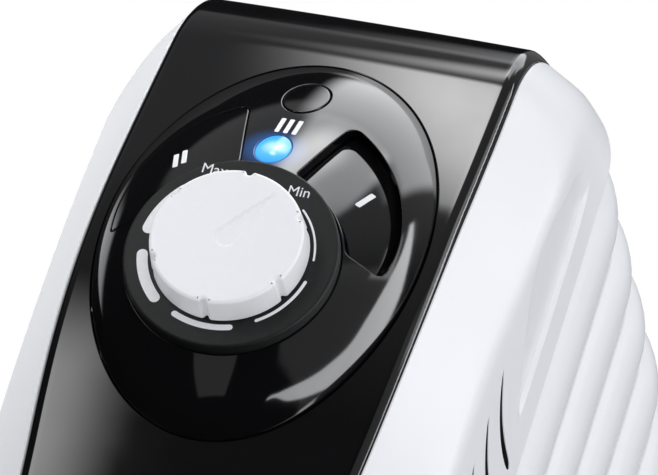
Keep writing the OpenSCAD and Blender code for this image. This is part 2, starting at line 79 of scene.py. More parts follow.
# Side profile of the panel: upright, a wide bend, a straight slope, a tight bend and a crowned top
FLAT_Z = 20.0
LOW_R = 345.0
LEAN_BACK = math.radians(15.5)
STRAIGHT_TOP = 167.0
BEND_R = 48.0
BEND_TILT = math.radians(66)
TOP_R = 130.0
LOW_Y = LOW_R * (1 - math.cos(LEAN_BACK))
LOW_Z = FLAT_Z + LOW_R * math.sin(LEAN_BACK)
STRAIGHT = (STRAIGHT_TOP - LOW_Z) / math.cos(LEAN_BACK)
BEND_Y = LOW_Y + STRAIGHT * math.sin(LEAN_BACK) + BEND_R * (math.cos(LEAN_BACK) - math.cos(BEND_TILT))
END_TILT = math.acos(math.cos(BEND_TILT) - (HOUSING_D - BEND_Y) / TOP_R)
ENDS = np.cumsum([FLAT_Z - BOTTOM, LOW_R * LEAN_BACK, STRAIGHT, BEND_R * (BEND_TILT - LEAN_BACK),
                  TOP_R * (END_TILT - BEND_TILT)])
FACE_LENGTH = ENDS[4]
# The panel's side bevels, its crown across, the seam beside it, and its thickness
BEVEL = 4.0
BEVEL_W = 4.4
CROWN = 0.5
SEAM = 0.35
WALL = 2.6
# Corner radii of the fins and of the shells' rear edge, and the height of that edge's top
CORNER_R = 38.0
SHELL_R = 31.0
BODY_TOP = FIN_TOP + 2.4

# Control pod: centre height and half sizes, the dial plate's radius and place, and the small parts
POD_Z = 83.5
POD_W = 53.3
POD_H = 79.5
DIAL_R = 35.5
DOME_Y = -20.0
LENS_Z, LENS_W, LENS_H = 105.9, 5.6, 7.45
CAP_Z, CAP_W, CAP_H = 137.0, 7.15, 9.6
TRAVEL = 5.0


def to_frame(points):
    return (np.asarray(points, float) + [0, PANEL_Y, REF_Z]) * MM


def face_at(length):
    """y, z and tilt on the panel's side profile, at a length up it from the bottom edge."""
    low = np.clip((length - ENDS[0]) / LOW_R, 0, LEAN_BACK)
    straight = np.clip(length - ENDS[1], 0, STRAIGHT)
    bend = LEAN_BACK + np.clip((length - ENDS[2]) / BEND_R, 0, BEND_TILT - LEAN_BACK)
    top = BEND_TILT + np.clip((length - ENDS[3]) / TOP_R, 0, None)
    y = (LOW_R * (1 - np.cos(low)) + straight * math.sin(LEAN_BACK)
         + BEND_R * (math.cos(LEAN_BACK) - np.cos(bend)) + TOP_R * (math.cos(BEND_TILT) - np.cos(top)))
    z = (np.minimum(BOTTOM + length, FLAT_Z) + LOW_R * np.sin(low) + straight * math.cos(LEAN_BACK)
         + BEND_R * (np.sin(bend) - math.sin(LEAN_BACK)) + TOP_R * (np.sin(top) - math.sin(BEND_TILT)))
    return y, z, low + bend - LEAN_BACK + top - BEND_TILT


PROFILE = np.linspace(-2, FACE_LENGTH + 2, 12000)
PROFILE_Z = face_at(PROFILE)[1]


def face_length(z):
    """Length up the profile at a height."""
    return np.interp(z, PROFILE_Z, PROFILE)


def face_y(z):
    """Y of the panel's middle at a height."""
    return face_at(face_length(z))[0]


def panel_half(z):
    """Half width of the panel with its seams."""
    low = 46.5 + 9 * np.exp(np.minimum(z, 0) / 90)
    middle = 60 - 4.5 * ((90 - z) / 90) ** 2
    high = 60 - 2.5 * ((z - 90) / 119) ** 2
    return np.where(z > 90, high, np.where(z > 0, middle, low))


def rear_half(z):
    """Half width of the side shells' rear edge."""
    h = np.clip(z - (BODY_TOP - SHELL_R), 0, SHELL_R)
    return BODY_HALF - SHELL_R + np.sqrt(SHELL_R**2 - h**2)


def smooth(value):
    v = np.clip(value, 0, 1)
    return v * v * (3 - 2 * v)


def shell_spread(t, z):
    """Share of the width gained at a share t of the depth: a crease at a third that fades out at the top."""
    fade = smooth((z - 140) / 60)
    share = 0.84 + 0.08 * smooth((z - 60) / 60) - 0.38 * fade
    steep = (2.7 - 1.1 * fade) * t
    shallow = share + (1 - share) * t
    return (steep + shallow - np.sqrt((steep - shallow) ** 2 + 0.0036 + 0.03 * fade)) / 2


def dome_share(x, z):
    """How far a point in X and Z lies from the dial plate's edge, 0, to the pod's rim, 1."""
    low = np.full(np.shape(x), -0.6)
    high = np.full(np.shape(x), 1.5)
    for _ in range(40):
        f = (low + high) / 2
        a = DIAL_R + (POD_W - DIAL_R) * f
        b = DIAL_R + (POD_H - DIAL_R) * f
        c = DIAL_Z + (POD_Z - DIAL_Z) * f
        outside = (x / a) ** 2 + ((z - c) / b) ** 2 > 1
        low = np.where(outside, f, low)
        high = np.where(outside, high, f)
    return f, (z - c) / b


def dome_y(x, z):
    """Y of the pod's dome."""
    f, cosine = dome_share(x, z)
    rim = face_y(POD_Z + POD_H * np.clip(cosine, -1, 1))
    return DOME_Y + (rim - DOME_Y) * (0.7 * f + 0.3 * f**3)


# ---------- mesh helpers ----------


def unit(v):
    return v / np.maximum(np.linalg.norm(v, axis=-1, keepdims=True), 1e-12)


def is_ccw(loop):
    x, y = loop.T
    return np.sum(x * np.roll(y, -1) - y * np.roll(x, -1)) > 0


def inside(points, loop):
    x, y = points.T
    found = np.zeros(len(points), bool)
    for (x0, y0), (x1, y1) in zip(loop, np.roll(loop, -1, 0)):
        if y0 != y1:
            found ^= ((y0 > y) != (y1 > y)) & (x < (x1 - x0) * (y - y0) / (y1 - y0) + x0)
    return found


def left_of(loop):
    """Mitred unit vectors to the left of a closed loop's points."""
    step = unit(np.roll(loop, -1, 0) - loop)
    after = np.c_[-step[:, 1], step[:, 0]]
    before = np.roll(after, 1, 0)
    return (before + after) / np.maximum(1 + np.sum(before * after, 1, keepdims=True), 0.35)


def resampled(loop, spacing):
    """The same closed loop with points about a spacing apart; its corners stay."""
    out = []
    for p, q in zip(loop, np.roll(loop, -1, 0)):
        n = max(1, int(round(np.linalg.norm(q - p) / spacing)))
        out += [p + (q - p) * i / n for i in range(n)]
    return np.array(out)


def ellipse(cx, cz, a, b, n=96):
    t = np.arange(n) * 2 * math.pi / n
    return np.c_[cx + a * np.cos(t), cz + b * np.sin(t)]


def new_object(name, data, material, body, replaces=()):
    o = bpy.data.objects.new(name, data)
    bpy.context.scene.collection.objects.link(o)
    o.data.materials.append(material)
    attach(o, body)
    if replaces:
        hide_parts(*replaces)
    return o


def mesh_from(name, points, faces, corner_normals=None, mirrored=False):
    points = np.array(points, float)
    if mirrored:
        points[:, 0] *= -1
        faces = [f[::-1] for f in faces]
    mesh = bpy.data.meshes.new(name)
    mesh.from_pydata(to_frame(points).tolist(), [], [list(map(int, f)) for f in faces])
    mesh.polygons.foreach_set("use_smooth", [True] * len(mesh.polygons))
    if corner_normals is None:
        mesh.set_sharp_from_angle(angle=math.radians(38))
    else:
        if mirrored:
            corner_normals = [[(-n[0], n[1], n[2]) for n in c[::-1]] for c in corner_normals]
        mesh.normals_split_custom_set([tuple(n) for c in corner_normals for n in c])
    mesh.validate()
    return mesh


def apart(points, others, gap):
    """Which points lie further than a gap from all the others."""
    keep = np.ones(len(points), bool)
    for start in range(0, len(points), 2000):
        part = points[start:start + 2000]
        keep[start:start + 2000] = np.linalg.norm(part[:, None] - others[None], axis=2).min(1) > gap
    return keep


def triangulated(loops, spacing, extra=None):
    """Points and triangles between an outer loop and its holes; the loops' points come first.

    extra are more points to put in, where the surface bends quickly.
    """
    low, high = loops[0].min(0), loops[0].max(0)
    rows = np.arange(low[1] + spacing / 2, high[1], spacing * 0.866)
    grid = []
    for i, v in enumerate(rows):
        u = np.arange(low[0] + spacing * (0.25 + 0.5 * (i % 2)), high[0], spacing)
        grid.append(np.c_[u, np.full(len(u), v)])
    grid = np.concatenate(grid)
    rim = np.concatenate(loops)
    if extra is not None:
        grid = np.concatenate([extra, grid[apart(grid, extra, spacing * 0.5)]])
    keep = inside(grid, loops[0])
    for hole in loops[1:]:
        keep &= ~inside(grid, hole)
    grid = grid[keep]
    points = np.concatenate([rim, grid[apart(grid, rim, spacing * (0.55 if extra is None else 0.25))]])
    edges, start = [], 0
    for loop in loops:
        n = len(loop)
        edges += [(start + i, start + (i + 1) % n) for i in range(n)]
        start += n
    out = delaunay_2d_cdt([Vector(p) for p in points], edges, [], 0, 1e-7)
    source = [ids[0] if ids else -1 for ids in out[3]]
    triangles = np.array([[source[i] for i in f] for f in out[2]])
    triangles = triangles[(triangles >= 0).all(1)]
    middle = points[triangles].mean(1)
    keep = inside(middle, loops[0])
    for hole in loops[1:]:
        keep &= ~inside(middle, hole)
    triangles = triangles[keep]
    a, b, c = (points[triangles[:, i]] for i in range(3))
    turn = (b - a)[:, 0] * (c - a)[:, 1] - (b - a)[:, 1] * (c - a)[:, 0]
    triangles = triangles[np.abs(turn) > 1e-9]
    turn = turn[np.abs(turn) > 1e-9]
    triangles[turn < 0] = triangles[turn < 0][:, ::-1]
    return points, triangles


def surface_frame(where, uv):
    """Points of a surface with their outward normals and the directions of its two coordinates."""
    h = 0.02
    du = where(uv + [h, 0]) - where(uv - [h, 0])
    dv = where(uv + [0, h]) - where(uv - [0, h])
    return where(uv), unit(np.cross(du, dv)), unit(du), unit(dv)


def sheet_mesh(name, loops, where, spacing, fillet, wall, inward=None, flare=0, steps=4, mirrored=False,
               extra=None, lined=False):
    """A closed sheet over a region of a surface, with rounded front edges and walls that run inward.

    loops are the outer loop and the holes, in the surface's two coordinates. fillet is the radius of the
    front edges, wall the depth of the sheet, flare how far the walls spread, and inward the
    direction of the walls, where they don't follow the surface's normal. A sheet with shade inside has the
    object's second material on its back and on the walls' ends: near-black painted shade for its unlit inside.
    """
    loops = [np.array(p, float) for p in loops]
    loops = [p if is_ccw(p) == (i == 0) else p[::-1] for i, p in enumerate(loops)]
    lefts = [left_of(p) for p in loops]
    flat, triangles = triangulated([p + n * fillet for p, n in zip(loops, lefts)], spacing, extra)

    def place(uv, depth):
        p, n, u, v = surface_frame(where, uv)
        d = -n if inward is None else np.broadcast_to(inward, n.shape)
        return p + d * np.reshape(depth, (-1, 1)), n, u, v, d

    front, normals, _, _, _ = place(flat, np.zeros(len(flat)))
    back, _, _, _, _ = place(flat, np.full(len(flat), wall))
    count = len(flat)
    points = [front, back]
    faces = [tuple(t) for t in triangles]
    corners = [[normals[i] for i in t] for t in triangles]
    faces += [(t[2] + count, t[1] + count, t[0] + count) for t in triangles]
    corners += [[-normals[i] for i in t[::-1]] for t in triangles]
    total, start = 2 * count, 0
    shaded_faces = set()
    for loop, left in zip(loops, lefts):
        n = len(loop)
        last = np.arange(start, start + n)
        last_normal = normals[last]
        for k in range(1, steps + 1):
            turn = math.pi / 2 * k / steps
            at = loop + left * fillet * (1 - math.sin(turn))
            p, normal, u, v, d = place(at, np.full(n, fillet * (1 - math.cos(turn))))
            aside = -(u * left[:, :1] + v * left[:, 1:])
            aside = unit(aside - d * np.sum(aside * d, 1, keepdims=True))
            bent = unit(normal * math.cos(turn) + aside * math.sin(turn))
            if fillet == 0 and k < steps:
                continue
            ring = np.arange(total, total + n)
            points.append(p)
            total += n
            for i in range(n):
                j = (i + 1) % n
                faces.append((last[i], ring[i], ring[j], last[j]))
                corners.append([last_normal[i], bent[i], bent[j], last_normal[j]])
            last, last_normal = ring, bent
        p, normal, _, _, _ = place(loop - left * flare, np.full(n, wall))
        ring = np.arange(total, total + n)
        points.append(p)
        total += n
        inner = np.arange(start + count, start + count + n)
        shaded_faces.update(range(len(faces), len(faces) + 2 * n))
        for i in range(n):
            j = (i + 1) % n
            faces.append((last[i], ring[i], ring[j], last[j]))
            corners.append([last_normal[i], last_normal[i], last_normal[j], last_normal[j]])
            faces.append((ring[i], inner[i], inner[j], ring[j]))
            corners.append([-normal[i], -normal[i], -normal[j], -normal[j]])
        start += n
    mesh = mesh_from(name, np.concatenate(points), faces, corners, mirrored)
    # The back and the walls take the second material, painted shade for the sheet's unlit inside
    if lined:
        front = len(triangles)
        for polygon in mesh.polygons:
            polygon.material_index = int(front <= polygon.index < 2 * front or polygon.index in shaded_faces)
    return mesh


def lathe_mesh(name, profile, centre, segments=144):
    """A closed turned shape about an axis along Y; profile is (radius, y) round its section."""
    angle = np.arange(segments) * 2 * math.pi / segments
    points = np.concatenate([
        np.c_[r * np.cos(angle) + centre[0], np.full(segments, y), r * np.sin(angle) + centre[1]]
        for r, y in profile])
    faces = []
    n = len(profile)
    for k in range(n):
        a, b = k * segments, ((k + 1) % n) * segments
        for i in range(segments):
            j = (i + 1) % segments
            faces.append((a + i, b + i, b + j, a + j))
    return mesh_from(name, points, faces)


# ---------- materials ----------


def fill(tree, entry, value):
    """Links or sets one input of a node."""
    if isinstance(value, bpy.types.NodeSocket):
        tree.links.new(value, entry)
    else:
        entry.default_value = value


def add_node(tree, kind, **values):
    """A new shader node with its inputs filled; an underscore stands for a space."""
    node = tree.nodes.new("ShaderNode" + kind)
    for name, value in values.items():
        fill(tree, node.inputs[name.replace("_", " ")], value)
    return node


def base_material(name, colour, roughness, metallic=0.0, specular=0.5):
    material = bpy.data.materials.new(name)
    material.use_nodes = True
    shader = material.node_tree.nodes["Principled BSDF"]
    shader.inputs["Base Color"].default_value = (*colour, 1)
    shader.inputs["Roughness"].default_value = roughness
    shader.inputs["Metallic"].default_value = metallic
    shader.inputs["IOR"].default_value = 1.5
    shader.inputs["Specular IOR Level"].default_value = specular
    return material, material.node_tree, shader


def add_noise(tree, scale, detail):
    place = add_node(tree, "TexCoord")
    return add_node(tree, "TexNoise", Scale=scale, Detail=detail, Vector=place.outputs["Object"])


def add_bump(tree, shader, scale, strength, distance, detail):
    """Fine relief; distance is its height in metres."""
    noise = add_noise(tree, scale, detail)
    bump = add_node(tree, "Bump", Strength=strength, Distance=distance, Height=noise.outputs[0])
    tree.links.new(bump.outputs["Normal"], shader.inputs["Normal"])


def add_roughness(tree, shader, scale, low, high):
    noise = add_noise(tree, scale, 4.0)
    spread = add_node(tree, "MapRange", From_Min=0.3, From_Max=0.7, To_Min=low, To_Max=high,
                      Value=noise.outputs[0])
    tree.links.new(spread.outputs["Result"], shader.inputs["Roughness"])


def add_colour(tree, shader, scale, first, second):
    noise = add_noise(tree, scale, 4.0)
    ramp = add_node(tree, "ValToRGB", Fac=noise.outputs[0])
    ramp.color_ramp.elements[0].position = 0.35
    ramp.color_ramp.elements[0].color = (*first, 1)
    ramp.color_ramp.elements[1].position = 0.65
    ramp.color_ramp.elements[1].color = (*second, 1)
    tree.links.new(ramp.outputs["Color"], shader.inputs["Base Color"])


def distance_from(tree, spot):
    """How far the shaded point lies from a spot in the panel's coordinates, in metres."""
    gap = add_node(tree, "VectorMath", Vector=add_node(tree, "TexCoord").outputs["Object"])
    gap.operation = "DISTANCE"
    gap.inputs[1].default_value = to_frame([spot])[0]
    return gap.outputs["Value"]


def black_gloss():
    """Piano black moulding: deep, mirror smooth, with the faintest waviness and haze."""
    material, tree, shader = base_material("black_gloss", (0.0035, 0.0035, 0.004), 0.07)
    add_roughness(tree, shader, 60, 0.05, 0.085)
    add_bump(tree, shader, 45, 0.02, 0.0004, 1.0)
    return material


def pod_gloss():
    """The pod's black, with the pilot lens's blue light spilling on to it."""
    material = black_gloss()
    material.name = "pod_gloss"
    tree = material.node_tree
    shader = tree.nodes["Principled BSDF"]
    lens_y = float(dome_y(np.array([0.0]), np.array([LENS_Z]))[0])
    fade = add_node(tree, "MapRange", From_Min=0.004, From_Max=0.0145, To_Min=0.35, To_Max=0.0,
                    Value=distance_from(tree, (0, lens_y, LENS_Z)))
    fade.interpolation_type = "SMOOTHERSTEP"
    tree.links.new(fade.outputs["Result"], shader.inputs["Emission Strength"])
    shader.inputs["Emission Color"].default_value = (0.03, 0.22, 0.75, 1)
    return material


def white_gloss(name, colour, roughness, peel):
    """Glossy white with a little orange peel."""
    material, tree, shader = base_material(name, colour, roughness, specular=0.22)
    add_roughness(tree, shader, 35, roughness * 0.95, roughness * 1.05)
    add_bump(tree, shader, 260, peel, 0.00003, 1.0)
    return material


def matt(name, colour, second, roughness, grain, depth):
    """Moulded plastic or rubber with a fine grain and a little variation of colour."""
    material, tree, shader = base_material(name, colour, roughness)
    add_colour(tree, shader, 400, colour, second)
    add_bump(tree, shader, grain, 0.35, depth, 3.0)
    return material


def metal(name, colour, second, roughness, stretch):
    """Plated or worked metal, with fine streaks and patches."""
    material, tree, shader = base_material(name, colour, roughness, metallic=1.0)
    add_colour(tree, shader, 120, colour, second)
    place = add_node(tree, "TexCoord")
    scale = add_node(tree, "Mapping", Scale=stretch, Vector=place.outputs["Object"])
    noise = add_node(tree, "TexNoise", Scale=300, Vector=scale.outputs["Vector"])
    bump = add_node(tree, "Bump", Strength=0.25, Distance=0.0002, Height=noise.outputs[0])
    tree.links.new(bump.outputs["Normal"], shader.inputs["Normal"])
    return material


def lit_lens():
    """Blue lens lit from behind: pale in the middle, deep blue at its edge."""
    material, tree, shader = base_material("lit_lens", (0.05, 0.30, 0.75), 0.12)
    fade = add_node(tree, "MapRange", From_Min=0.0, From_Max=0.0095,
                    Value=distance_from(tree, (0.6, -14.5, LENS_Z - 0.6)))
    ramp = add_node(tree, "ValToRGB", Fac=fade.outputs["Result"])
    stops = ramp.color_ramp.elements
    stops[0].color = (0.80, 0.84, 0.95, 1)
    stops[1].color = (0.01, 0.10, 0.30, 1)
    stops.new(0.2).color = (0.50, 0.68, 0.90, 1)
    stops.new(0.5).color = (0.05, 0.30, 0.62, 1)
    tree.links.new(ramp.outputs["Color"], shader.inputs["Emission Color"])
    shader.inputs["Emission Strength"].default_value = 1.0
    return material


BLACK = black_gloss()
POD = pod_gloss()
SHELL = white_gloss("shell_white", (0.83, 0.84, 0.86), 0.26, 0.02)
FIN = white_gloss("fin_paint", (0.83, 0.84, 0.86), 0.26, 0.05)
KNOB = matt("knob_white", (0.95, 0.95, 0.97), (0.94, 0.94, 0.96), 0.42, 2500, 0.000003)
DIAL = matt("dial_black", (0.006, 0.007, 0.007), (0.009, 0.010, 0.010), 0.6, 2200, 0.00003)
INK = matt("ink_white", (0.86, 0.87, 0.88), (0.82, 0.83, 0.84), 0.5, 900, 0.00002)
# Near-black painted shade for the white shells' insides: their backs and the walls of their edges and slits
SHELL_INSIDE_SHADE = matt("shell_inside_shade", (0.012, 0.012, 0.013), (0.016, 0.016, 0.017), 0.7, 500, 0.0001)
LENS = lit_lens()
FOOT = matt("foot_grey", (0.055, 0.057, 0.060), (0.075, 0.077, 0.080), 0.5, 700, 0.0002)
RUBBER = matt("wheel_rubber", (0.018, 0.018, 0.018), (0.030, 0.030, 0.030), 0.7, 500, 0.0002)
INNER = matt("inner_grey", (0.20, 0.21, 0.22), (0.26, 0.27, 0.28), 0.5, 500, 0.0001)
CERAMIC = matt("terminal_white", (0.75, 0.75, 0.72), (0.68, 0.68, 0.65), 0.4, 400, 0.0001)
ZINC = metal("zinc_plate", (0.62, 0.63, 0.65), (0.50, 0.51, 0.53), 0.34, (1, 1, 8))
ELEMENT = metal("element_steel", (0.36, 0.34, 0.33), (0.24, 0.22, 0.24), 0.42, (1, 12, 1))
BRASS = metal("plug_brass", (0.70, 0.52, 0.24), (0.60, 0.43, 0.18), 0.30, (8, 1, 8))


def new_sheet(name, material, body, node, slot, *shape, **more):
    return new_object(name, sheet_mesh(name, *shape, **more), material, body, [node] if node else ())


# ---------- front panel ----------


def panel_where(uv):
    x, length = uv.T
    y, z, tilt = face_at(length)
    half = panel_half(z) - SEAM
    edge = np.clip((np.abs(x) - half + BEVEL_W) / BEVEL_W, 0, None)
    drop = CROWN * (x / half) ** 2 + (BEVEL - CROWN) * edge**2.5
    return np.c_[x, y + drop * np.cos(tilt), z - drop * np.sin(tilt)]


def panel_loop():
    edge = np.linspace(0, FACE_LENGTH - 0.05, 220)
    half = panel_half(face_at(edge)[1]) - SEAM
    right = np.c_[half, edge]
    left = np.c_[-half, edge][::-1]
    return resampled(np.concatenate([right, left]), 2.5)


def pod_opening():
    rim = ellipse(0, POD_Z, POD_W + 0.3, POD_H + 0.3, 200)
    return np.c_[rim[:, 0], face_length(rim[:, 1])]


def panel_rows():
    """Points along the side bevels, where the panel bends."""
    length = np.arange(1, FACE_LENGTH, 2.2)
    half = panel_half(face_at(length)[1]) - SEAM - BEVEL_W
    return np.concatenate([np.c_[side * (half + step), length]
                           for side in (-1, 1) for step in (-1.0, 0.2, 1.2, 2.0, 2.8, 3.5)])


new_sheet("fascia_skin", BLACK, "heater", "fascia", "panel_black",
          [panel_loop(), pod_opening()], panel_where, 3.0, 0.45, WALL, extra=panel_rows())

# ---------- side shells ----------


def shell_edge(z):
    """Y of a side shell's front edge at its own height z."""
    length = face_length(z)
    for _ in range(3):
        y, face_z, tilt = face_at(length)
        length = length + (z - (face_z - BEVEL * np.sin(tilt)))
    y, face_z, tilt = face_at(length)
    return y + BEVEL * np.cos(tilt), face_z


SCOOP_BACK = 81.0
SCOOP_D = 1.5
SCOOP_LOW, SCOOP_HIGH = 74, 168
SCOOP_Z = [75, 82, 90, 101, 110, 120, 135, 149, 158, 166]
SCOOP_FRONT = [80, 73, 65.5, 55, 50, 48.3, 52, 58.6, 63, 70]


def scoop(y, z):
    """Depth of the shallow scoop in a shell's side, which ends in a small step at the back."""
    front = np.interp(z, SCOOP_Z, SCOOP_FRONT)
    share = np.clip((y - front) / np.maximum(SCOOP_BACK - 2 - front, 1), 0, 1)
    ends = smooth((z - SCOOP_LOW) / 8) * smooth((SCOOP_HIGH - z) / 12)
    return SCOOP_D * share**0.8 * (1 - smooth((y - SCOOP_BACK + 2) / 2.4)) * ends


def scoop_rows():
    """Points along the scoop's edges."""
    z = np.arange(72, 172, 1.6)
    front = np.interp(z, SCOOP_Z, SCOOP_FRONT)
    back = [np.c_[np.full(len(z), SCOOP_BACK + step), z] for step in (-3, -2, -1.2, -0.4, 0.4, 1.2)]
    return np.concatenate(back + [np.c_[front + step, z] for step in (-0.8, 0.6)])


def shell_where(uv):
    """The right side shell's outer face over Y and Z."""
    y, z = uv.T
    front, face_z = shell_edge(z)
    half = panel_half(face_z)
    t = (y - front) / np.maximum(HOUSING_D - front, 0.5)
    width = np.maximum(rear_half(z) - half, 0)
    return np.c_[half + width * shell_spread(t, z) - scoop(y, z), y, z]


SHELL_TOP = 204.8
# Air slits: front end, run, rear end's height, rise, half thickness, count and pitch
SLIT_Y, SLIT_RUN, SLIT_Z, SLIT_RISE, SLIT_HALF = 49.5, 37, 59.7, 16, 2.0
SLITS, SLIT_PITCH = 18, 18


def shell_loop():
    z = np.concatenate([np.linspace(BOTTOM, 0, 60), np.linspace(4, SHELL_TOP, 90)])
    front = np.c_[shell_edge(z)[0], z]
    return resampled(np.concatenate([[[HOUSING_D, BOTTOM], [HOUSING_D, SHELL_TOP]], front[::-1]]), 2.5)


def slit_loop(drop):
    s = np.linspace(0, 1, 24)
    thick = SLIT_HALF * np.sqrt(np.clip(1 - (2 * s - 1) ** 6, 0, 1)) + 0.03
    y = SLIT_Y + SLIT_RUN * s
    z = SLIT_Z + SLIT_RISE * (1 - s) ** 2.6 - drop
    upper = np.c_[y, z + thick]
    lower = np.c_[y, z - thick]
    return resampled(np.concatenate([lower, upper[::-1]]), 1.6)


for side, mirrored in (("right", False), ("left", True)):
    loops = [shell_loop()] + [slit_loop(SLIT_PITCH * i) for i in range(SLITS)]
    shell = new_sheet(f"shell_{side}", SHELL, "heater", f"housing_{side}", "shell_white",
                      loops, shell_where, 2.6, 0.5, 2.4, mirrored=mirrored, extra=scoop_rows(), lined=True)
    # Second material: painted shade on the shell's back and on the walls of its edges and slits
    shell.data.materials.append(SHELL_INSIDE_SHADE)

# ---------- control pod ----------


def dome_where(deeper=0.0):
    """The pod's dome over X and Z, moved back by deeper."""
    def where(uv):
        x, z = uv.T
        return np.c_[x, dome_y(x, z) + deeper, z]
    return where


def arc(centre, radius, start, end, step=0.8):
    """Points on a circle from one point's direction to another's, the shorter way round."""
    a = math.atan2(start[1] - centre[1], start[0] - centre[0])
    b = math.atan2(end[1] - centre[1], end[0] - centre[0])
    b = a + (b - a + math.pi) % (2 * math.pi) - math.pi
    n = max(2, int(abs(b - a) * radius / step) + 1)
    t = np.linspace(a, b, n)
    return np.c_[centre[0] + radius * np.cos(t), centre[1] + radius * np.sin(t)]


def on_circle(point, direction, centre, radius, far):
    """Where a line meets a circle; far picks the second crossing."""
    d = unit(direction)
    m = point - centre
    b = m @ d
    root = math.sqrt(max(b * b - (m @ m - radius**2), 0))
    return point + d * (-b + root if far else -b - root)


# Push buttons: corner radius, outer circle and inner circle, from the dial's centre
CRESCENT_R = 3.0
OUTER_C = np.array([-7.0, 20.0])
OUTER_R = 54.0
INNER_R = DIAL_R + 0.8


def crescent_loop(grow, side):
    """Outline of a push button or its opening, from the two circles and two lines that bound it."""
    a0, a1 = np.array([[8.3, 24.6], [18.6, 64.1]] if side > 0 else [[4.7, 25.5], [15.0, 65.0]])
    b0, b1 = np.array([[25.0, 10.5], [70.0, 5.5]])
    up, along = unit(a1 - a0), unit(b1 - b0)
    right, above = np.array([up[1], -up[0]]), np.array([-along[1], along[0]])
    top_in, low_in = a0 + right * CRESCENT_R, b0 + above * CRESCENT_R
    zero = np.zeros(2)
    corners = [
        on_circle(top_in, up, zero, INNER_R + CRESCENT_R, True),
        on_circle(top_in, up, OUTER_C, OUTER_R - CRESCENT_R, True),
        on_circle(low_in, along, OUTER_C, OUTER_R - CRESCENT_R, True),
        on_circle(low_in, along, zero, INNER_R + CRESCENT_R, True)]
    r = CRESCENT_R + grow
    outward = [unit(c - OUTER_C) for c in corners]
    toward = [-unit(c) for c in corners]
    c0, c1, c2, c3 = corners
    parts = [
        arc(c0, r, c0 + toward[0], c0 - right),
        arc(c1, r, c1 - right, c1 + outward[1]),
        arc(OUTER_C, OUTER_R + grow, c1, c2)[1:-1],
        arc(c2, r, c2 + outward[2], c2 - above),
        arc(c3, r, c3 - above, c3 + toward[3]),
        arc(zero, INNER_R - grow, c3, c0)[1:-1]]
    return resampled(np.concatenate(parts), 0.9) * [side, 1] + [0, DIAL_Z]


BUTTON_GAP = 0.4
BACK = np.array([0.0, 1.0, 0.0])

pod_loops = [
    ellipse(0, POD_Z, POD_W, POD_H, 220),
    ellipse(0, DIAL_Z, DIAL_R, DIAL_R, 180),
    crescent_loop(0, 1),
    crescent_loop(0, -1),
    ellipse(0, LENS_Z, LENS_W + 0.15, LENS_H + 0.15, 60),
    ellipse(0, CAP_Z, CAP_W + 0.35, CAP_H + 0.4, 72)]
new_sheet("pod_skin", POD, "heater", "control_pod", "panel_black",
          pod_loops, dome_where(), 1.7, 0.4, 7.0, BACK)
new_sheet("button_one", BLACK, "button_1", "push_button_1", "panel_black",
          [crescent_loop(-BUTTON_GAP, 1)], dome_where(TRAVEL), 1.5, 0.5, 6.0, BACK)
new_sheet("button_two", BLACK, "button_2", "push_button_2", "panel_black",
          [crescent_loop(-BUTTON_GAP, -1)], dome_where(), 1.5, 0.5, 6.0, BACK)
new_sheet("cap_skin", BLACK, "heater", "blank_cap", "panel_black",
          [ellipse(0, CAP_Z, CAP_W, CAP_H, 72)], dome_where(-0.2), 1.0, 0.6, 3.0, BACK)


def lens_where(uv):
    x, z = uv.T
    crown = 1.3 * np.clip(1 - (x / LENS_W) ** 2 - ((z - LENS_Z) / LENS_H) ** 2, 0, 1)
    return np.c_[x, dome_y(x, z) - crown + 0.1, z]


new_sheet("lens_skin", LENS, "heater", "pilot_lens", "lens_blue",
          [ellipse(0, LENS_Z, LENS_W, LENS_H, 60)], lens_where, 0.7, 0.25, 3.0, BACK)

# ---------- dial plate, knob and printed marks ----------


PLATE_R, PLATE_EDGE, SHAFT_HOLE, BOSS_R = DIAL_R - 0.35, 0.9, 3.7, 8
rim = [(PLATE_R - PLATE_EDGE * (1 - math.sin(a)), DIAL_Y + PLATE_EDGE * (1 - math.cos(a)))
       for a in np.linspace(0, math.pi / 2, 7)]
plate = ([(SHAFT_HOLE, DIAL_Y + 0.4), (SHAFT_HOLE + 0.4, DIAL_Y)] + rim
         + [(PLATE_R, DOME_Y + 3), (BOSS_R, DOME_Y + 3), (BOSS_R, DOME_Y + 6), (SHAFT_HOLE, DOME_Y + 6)])
new_object("dial_face", lathe_mesh("dial_face", plate, (0, DIAL_Z)), DIAL, "heater", ["dial_plate"])

KNOB_R = 25.2
GROOVE_D, GROOVE_HALF = 1.35, 1.15
POINTER = math.radians(32)
POINTER_LENGTH, POINTER_HALF, POINTER_DEPTH = 21.0, 3.6, 0.35


def knob_loop():
    """Outline of the knob with six narrow grip grooves."""
    a = np.arange(1080) * 2 * math.pi / 1080
    turn = (a - POINTER) % (math.pi / 3) - math.pi / 6
    groove = GROOVE_D * np.exp(-((turn * KNOB_R / GROOVE_HALF) ** 4))
    r = KNOB_R - groove
    return np.c_[r * np.sin(a), DIAL_Z + r * np.cos(a)]


def pointer_gap(x, z):
    """Distance inside the engraved drop: positive inside its outline."""
    along = x * math.sin(POINTER) + z * math.cos(POINTER)
    aside = x * math.cos(POINTER) - z * math.sin(POINTER)
    share = np.clip(along / POINTER_LENGTH, 0, 1)
    in_tail = POINTER_HALF * (1 - share) ** 0.8 - np.abs(aside)
    in_bulb = POINTER_HALF - np.hypot(aside, along)
    return np.where(along > 0, in_tail, in_bulb)


def knob_where(uv):
    x, z = uv.T
    depth = POINTER_DEPTH * np.clip(pointer_gap(x, z - DIAL_Z) / 0.7 + 0.5, 0, 1)
    return np.c_[x, KNOB_Y + depth, z]


new_sheet("knob_skin", KNOB, "knob", "knob", "knob_white",
          [knob_loop()], knob_where, 0.7, 1.3, KNOB_BACK - KNOB_Y, BACK, flare=0.6, steps=6)


